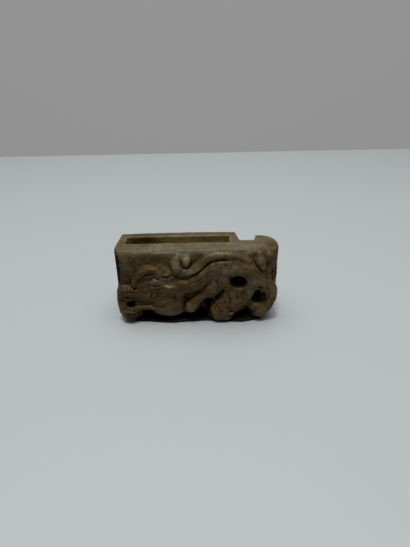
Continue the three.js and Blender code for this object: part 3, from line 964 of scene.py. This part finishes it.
def make_buckle():
    """The carving as one piece, marked with its folds, stains and painted shade and light, and placed in the
    frame.
    """
    field = carve()
    mesh = thinned(mesh_from(field))
    evenly_cut(mesh)
    points = np.empty(3 * len(mesh.vertices), dtype=np.float32)
    mesh.vertices.foreach_get("co", points)
    points = points.reshape(-1, 3)
    near = np.clip(field, -NEAR, NEAR)
    mark(mesh, "fold", read_at(spread_out(near, FOLD_REACH), points))
    mark(mesh, "dell", read_at(spread_out(near, DELL_REACH), points))
    for name, spots in STAINS_AND_PAINTED_LIGHT.items():
        mark(mesh, name, spot_amount(points, spots))
    mark(mesh, "front", np.clip((FRONT_FADE[1] - points[:, 1]) / (FRONT_FADE[1] - FRONT_FADE[0]), 0, 1))
    mesh.vertices.foreach_set("co", ((points - ORIGIN) * MM).astype(np.float32).ravel())
    mesh.shade_smooth()
    mesh.update()
    piece = bpy.data.objects.new("jade_carving", mesh)
    bpy.context.collection.objects.link(piece)
    return piece


class Nodes:
    """Short ways to lay out the nodes of one material."""

    def __init__(self, name):
        self.material = bpy.data.materials.new(name)
        self.material.use_nodes = True
        self.tree = self.material.node_tree
        self.shader = self.tree.nodes["Principled BSDF"]
        self.place = self.tree.nodes.new("ShaderNodeTexCoord").outputs["Object"]

    def put(self, value, socket):
        """Feeds a socket from another one, or with a constant."""
        if isinstance(value, bpy.types.NodeSocket):
            self.tree.links.new(value, socket)
        else:
            socket.default_value = value

    def noise(self, scale, detail, roughness=0.55, distortion=0.0, stretch=(1, 1, 1)):
        """Soft random values through the stone, 0 to 1."""
        node = self.tree.nodes.new("ShaderNodeTexNoise")
        place = self.tree.nodes.new("ShaderNodeMapping")
        self.put(self.place, place.inputs["Vector"])
        place.inputs["Scale"].default_value = stretch
        self.put(place.outputs["Vector"], node.inputs["Vector"])
        node.inputs["Scale"].default_value = scale
        node.inputs["Detail"].default_value = detail
        node.inputs["Roughness"].default_value = roughness
        node.inputs["Distortion"].default_value = distortion
        return node.outputs["Fac"]

    def attribute(self, name):
        """Values that were marked on the mesh."""
        node = self.tree.nodes.new("ShaderNodeAttribute")
        node.attribute_name = name
        return node.outputs["Fac"]

    def maths(self, operation, *terms):
        """One operation on sockets or constants."""
        node = self.tree.nodes.new("ShaderNodeMath")
        node.operation = operation
        for term, socket in zip(terms, node.inputs):
            self.put(term, socket)
        return node.outputs[0]

    def weigh(self, *parts):
        """The sum of values, each with its own weight."""
        total = 0.0
        for value, weight in parts:
            total = self.maths("MULTIPLY_ADD", value, weight, total)
        return total

    def between(self, value, start, end, low=0.0, high=1.0):
        """A value carried from start and end to low and high, smoothly and no further."""
        node = self.tree.nodes.new("ShaderNodeMapRange")
        node.interpolation_type = "SMOOTHSTEP"
        self.put(value, node.inputs["Value"])
        for name, number in (("From Min", start), ("From Max", end), ("To Min", low), ("To Max", high)):
            node.inputs[name].default_value = number
        return node.outputs["Result"]

    def blend(self, share, first, second, kind="MIX"):
        """Two colours, the second one by its share."""
        node = self.tree.nodes.new("ShaderNodeMix")
        node.data_type = "RGBA"
        node.blend_type = kind
        self.put(share, node.inputs["Factor"])
        a, b = [socket for socket in node.inputs if socket.type == "RGBA"]
        self.put(first if isinstance(first, bpy.types.NodeSocket) else (*first, 1), a)
        self.put(second if isinstance(second, bpy.types.NodeSocket) else (*second, 1), b)
        return [socket for socket in node.outputs if socket.type == "RGBA"][0]


def jade():
    """Mottled stone with stains, soil and painted shade in its creases, painted shade in gaps and holes,
    painted highlights and light, and a waxy polish.
    """
    nodes = Nodes("jade")
    cloud, tint, patch, mottle, fleck, vein, streak = [nodes.noise(*values) for values in NOISES.values()]
    fold = nodes.attribute("fold")
    dell = nodes.attribute("dell")
    front = nodes.attribute("front")
    plain_side = nodes.maths("SUBTRACT", 1.0, front)
    patchy = nodes.between(patch, *PATCHY_STEP)
    varied = nodes.between(front, *VARIED_STEP)

    # Through the fold, ridges come out paler and creases darker: partly wear, partly painted highlight and
    # shade.
    height = nodes.weigh(*zip((fold, cloud, mottle), HEIGHT_MIX))
    colour = nodes.blend(nodes.between(height, *TAN_STEP), OLIVE, TAN)
    colour = nodes.blend(nodes.between(height, *CREAM_STEP), colour, CREAM)
    ochre = nodes.maths("MULTIPLY", varied, nodes.between(tint, *OCHRE_STEP))
    colour = nodes.blend(ochre, colour, OCHRE)
    rust = nodes.maths("MULTIPLY", varied, nodes.between(tint, *RUST_STEP))
    rust = nodes.maths("MAXIMUM", rust, nodes.maths("MULTIPLY", nodes.attribute("russet"), patchy))
    colour = nodes.blend(rust, colour, RUST)
    grain = nodes.maths("MAXIMUM", nodes.between(mottle, *MOTTLE_STEP), nodes.between(fleck, *FLECK_STEP))
    colour = nodes.blend(nodes.maths("MULTIPLY", grain, varied), colour, DIM, "MULTIPLY")
    lines = nodes.maths("MULTIPLY", plain_side, nodes.between(streak, *STREAK_STEP))
    colour = nodes.blend(lines, colour, SHADE, "MULTIPLY")
    # The carved side browner and darker, partly painted shade of the upright face.
    carved = nodes.maths("MULTIPLY", front, nodes.between(cloud, *UMBER_AND_FRONT_SHADE_STEP))
    colour = nodes.blend(carved, colour, UMBER_AND_FRONT_SHADE, "MULTIPLY")
    colour = nodes.blend(nodes.maths("MULTIPLY", nodes.attribute("plum"), patchy), colour, PLUM_GREY)
    # Paler stone and painted highlights, in patches.
    colour = nodes.blend(nodes.maths("MULTIPLY", nodes.attribute("pale_and_highlight"), patchy), colour, BONE_HIGHLIGHT)
    # Honey colour and painted light on the slot's walls.
    colour = nodes.blend(nodes.attribute("honey_and_slot_light"), colour, LIT_GOLD)
    # Brown tone and painted shade, multiplied in by SHADE.
    colour = nodes.blend(nodes.attribute("browning_and_shade"), colour, SHADE, "MULTIPLY")
    crack = nodes.maths("ABSOLUTE", nodes.maths("SUBTRACT", vein, CRACK_MIDDLE))
    colour = nodes.blend(nodes.between(crack, *CRACK_STEP), colour, OLIVE)

    # Soil and painted shade in creases and deep dells, on the carved side.
    cleft = nodes.maths("MAXIMUM", nodes.between(fold, *FOLD_STEP), nodes.between(dell, *DELL_STEP))
    cleft = nodes.maths("MULTIPLY", cleft, nodes.between(front, *CLEFT_STEP))
    colour = nodes.blend(cleft, colour, EARTH_AND_SHADE)
    # Painted shade: the black of pockets, holes and undersides, broken up by the patch noise, then joined
    # with the black left edge.
    shade_breakup = nodes.between(patch, *SHADE_BREAKUP_STEP)
    painted_shade = nodes.maths("MULTIPLY", nodes.between(nodes.attribute("painted_shade"), *PAINTED_SHADE_STEP), shade_breakup)
    # The black left edge, ragged where the noises cross its threshold.
    ragged = nodes.weigh(*zip((nodes.attribute("left_edge_black"), patch, mottle), RAGGED_MIX))
    blackened = nodes.maths("MAXIMUM", painted_shade, nodes.between(ragged, *LEFT_EDGE_BLACK_STEP))
    colour = nodes.blend(blackened, colour, BLACK)
    nodes.put(colour, nodes.shader.inputs["Base Color"])

    shine = nodes.between(mottle, *SHINE_STEP)
    rough = nodes.maths("MAXIMUM", shine, nodes.between(blackened, *DULL_STEP))
    nodes.put(rough, nodes.shader.inputs["Roughness"])
    bump = nodes.tree.nodes.new("ShaderNodeBump")
    bump.inputs["Strength"].default_value = BUMP_STRENGTH
    bump.inputs["Distance"].default_value = BUMP_HEIGHT
    nodes.put(nodes.maths("ADD", fleck, mottle), bump.inputs["Height"])
    nodes.put(bump.outputs["Normal"], nodes.shader.inputs["Normal"])
    nodes.shader.inputs["Specular IOR Level"].default_value = GLOSS
    nodes.shader.inputs["Subsurface Weight"].default_value = GLOW
    nodes.shader.inputs["Subsurface Radius"].default_value = GLOW_RADIUS
    nodes.shader.inputs["Subsurface Scale"].default_value = GLOW_SCALE
    return nodes.material


def plain(name, colour, roughness):
    """A material of one colour, for the stage."""
    material = bpy.data.materials.new(name)
    material.use_nodes = True
    shader = material.node_tree.nodes["Principled BSDF"]
    shader.inputs["Base Color"].default_value = (*colour, 1)
    shader.inputs["Roughness"].default_value = roughness
    return material


def sheet(name, corners, material):
    """A flat sheet of the stage."""
    mesh = bpy.data.meshes.new(name)
    mesh.from_pydata(corners, [], [(0, 1, 2, 3)])
    mesh.materials.append(material)
    plane = bpy.data.objects.new(name, mesh)
    bpy.context.collection.objects.link(plane)


def lamp(name, at, size, power):
    """A round lamp that faces the buckle."""
    light = bpy.data.lights.new(name, "AREA")
    light.shape = "DISK"
    light.size = size
    light.energy = power
    obj = bpy.data.objects.new(name, light)
    obj.location = at
    obj.rotation_euler = (-Vector(at)).to_track_quat("-Z", "Y").to_euler()
    bpy.context.collection.objects.link(obj)


buckle = make_buckle()
buckle.data.materials.append(jade())
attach(buckle, "root")
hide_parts("jade_buckle")

table = plain("table", TABLE_COLOUR, TABLE_ROUGHNESS)
floor = [
    (-FLOOR_HALF, -FLOOR_HALF),
    (FLOOR_HALF, -FLOOR_HALF),
    (FLOOR_HALF, FLOOR_BACK),
    (-FLOOR_HALF, FLOOR_BACK),
]
sheet("floor", [(x, y, 0) for x, y in floor], table)
wall = plain("wall", WALL_COLOUR, WALL_ROUGHNESS)
wall_shader = wall.node_tree.nodes["Principled BSDF"]
wall_shader.inputs["Emission Color"].default_value = (1, 1, 1, 1)
wall_shader.inputs["Emission Strength"].default_value = WALL_GLOW
backdrop = [(-WALL_HALF, WALL_FOOT), (WALL_HALF, WALL_FOOT), (WALL_HALF, WALL_TOP), (-WALL_HALF, WALL_TOP)]
sheet("backdrop", [(x, WALL_AT, z) for x, z in backdrop], wall)

for name, values in LAMPS.items():
    lamp(name, **values)
world = bpy.context.scene.world or bpy.data.worlds.new("world")
bpy.context.scene.world = world
world.use_nodes = True
world.node_tree.nodes["Background"].inputs["Color"].default_value = (*SKY_COLOUR, 1)
world.node_tree.nodes["Background"].inputs["Strength"].default_value = SKY_STRENGTH

camera = bpy.data.objects.new("camera", bpy.data.cameras.new("camera"))
camera.data.lens = CAMERA_LENS
camera.data.clip_start = CAMERA_NEAREST
tilt = Matrix.Rotation(math.radians(90 - CAMERA_DOWN), 4, "X")
roll = Matrix.Rotation(math.radians(CAMERA_ROLL), 4, "Z")
camera.matrix_world = Matrix.Translation(Vector((CAMERA_AT - ORIGIN) * MM)) @ tilt @ roll
bpy.context.collection.objects.link(camera)
bpy.context.scene.camera = camera
bpy.context.scene.view_settings.view_transform = "Standard"
